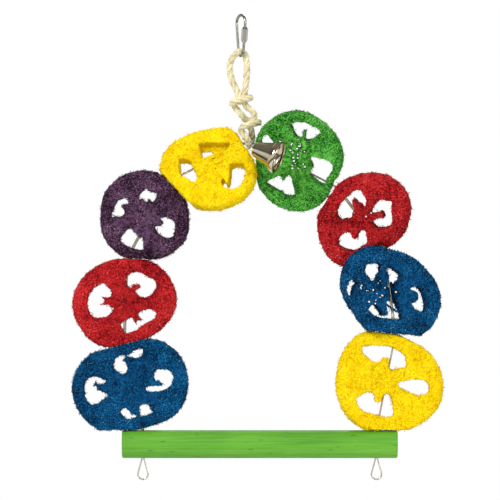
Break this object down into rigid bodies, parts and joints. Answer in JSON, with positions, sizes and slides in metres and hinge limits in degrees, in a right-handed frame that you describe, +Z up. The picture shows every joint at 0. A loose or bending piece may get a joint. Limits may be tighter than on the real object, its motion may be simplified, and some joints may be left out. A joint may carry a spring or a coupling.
{
  "type": "bird swing",
  "caption": "Hanging bird swing: dyed sponge-gourd slices threaded on a doubled wire arch over a round wooden perch, hung by a knotted rope from a screw link, with a small bell.",
  "frame": {"origin": "inside top of the screw link's upper bow, where a hook or cage wire carries the swing", "axes": "+Z up, +X along the perch to the right, -Y toward the viewer; the arch wire lies in the plane Y = 0"},
  "size_m": [0.241, 0.0539, 0.3032],
  "materials": {
    "nickel": "satin",
    "bell_nickel": "gloss",
    "wire": "satin",
    "rope": "matte",
    "stained_wood": "satin",
    "sponge_blue": "matte",
    "sponge_red": "matte",
    "sponge_purple": "matte",
    "sponge_yellow": "matte",
    "sponge_green": "matte"
  },
  "bodies": {
    "link": {"link_body": "nickel"},
    "sleeve": {"link_sleeve": "nickel"},
    "hanger": {"hanger_rope": "rope", "bell_hook": "nickel"},
    "swing": {"arch_wire": "wire", "perch": "stained_wood"},
    "slice_blue_left": {"slice_blue_left": "sponge_blue"},
    "slice_red_left": {"slice_red_left": "sponge_red"},
    "slice_purple_left": {"slice_purple_left": "sponge_purple"},
    "slice_yellow_top": {"slice_yellow_top": "sponge_yellow"},
    "slice_green_top": {"slice_green_top": "sponge_green"},
    "slice_red_right": {"slice_red_right": "sponge_red"},
    "slice_blue_right": {"slice_blue_right": "sponge_blue"},
    "slice_yellow_right": {"slice_yellow_right": "sponge_yellow"},
    "bell_link": {"bell_link": "nickel"},
    "bell": {"bell_shell": "bell_nickel", "bell_crown_loop": "nickel"},
    "clapper": {"bell_clapper": "nickel"}
  },
  "joints": [
    {"name": "sleeve_unscrew", "type": "slide", "parent": "link", "child": "sleeve", "axis": [-0.0651, 0.1003, -0.9928], "range_m": [0, 0.0048]},
    {"name": "hanger_swing", "type": "hinge", "parent": "link", "child": "hanger", "pos_m": [0, 0, -0.0255], "axis": [0.5446, -0.8387, 0], "range_deg": [-20, 20]},
    {"name": "arch_rock", "type": "hinge", "parent": "hanger", "child": "swing", "pos_m": [0.0055, 0, -0.0808], "axis": [1, 0, 0], "range_deg": [-15, 15]},
    {"name": "blue_left_turn", "type": "hinge", "parent": "swing", "child": "slice_blue_left", "pos_m": [-0.0698, 0, -0.24088], "axis": [-0.2135, 0, 0.977], "range_deg": [-20, 20]},
    {"name": "red_left_turn", "type": "hinge", "parent": "swing", "child": "slice_red_left", "pos_m": [-0.0749, 0, -0.18505], "axis": [0.0358, 0, 0.9994], "range_deg": [-20, 20]},
    {"name": "purple_left_turn", "type": "hinge", "parent": "swing", "child": "slice_purple_left", "pos_m": [-0.06055, 0, -0.13203], "axis": [0.4696, 0, 0.8829], "range_deg": [-8, 14]},
    {"name": "yellow_top_turn", "type": "hinge", "parent": "swing", "child": "slice_yellow_top", "pos_m": [-0.02085, 0, -0.09387], "axis": [0.8959, 0, 0.4442], "range_deg": [-14, 7]},
    {"name": "green_top_turn", "type": "hinge", "parent": "swing", "child": "slice_green_top", "pos_m": [0.03395, 0, -0.09584], "axis": [0.8841, 0, -0.4674], "range_deg": [-8, 20]},
    {"name": "red_right_turn", "type": "hinge", "parent": "swing", "child": "slice_red_right", "pos_m": [0.0775, 0, -0.13081], "axis": [0.6039, 0, -0.797], "range_deg": [-3, 20]},
    {"name": "blue_right_turn", "type": "hinge", "parent": "swing", "child": "slice_blue_right", "pos_m": [0.0965, 0, -0.17837], "axis": [0.1397, 0, -0.9902], "range_deg": [-20, 3]},
    {"name": "yellow_right_turn", "type": "hinge", "parent": "swing", "child": "slice_yellow_right", "pos_m": [0.09425, 0, -0.2374], "axis": [-0.1922, 0, -0.9813], "range_deg": [-20, 20]},
    {"name": "bell_link_swing", "type": "hinge", "parent": "hanger", "child": "bell_link", "pos_m": [0.0058, -0.0226, -0.0826], "axis": [0.9955, 0.0946, 0], "range_deg": [-15, 15]},
    {"name": "bell_swing", "type": "hinge", "parent": "bell_link", "child": "bell", "pos_m": [0.0058, -0.0226, -0.0855], "axis": [0, 1, 0], "range_deg": [-10, 100]},
    {"name": "clapper_swing", "type": "hinge", "parent": "bell", "child": "clapper", "pos_m": [0.01175, -0.0243, -0.08766], "axis": [0.2432, 0.9659, -0.0885], "range_deg": [-22, 22]}
  ]
}
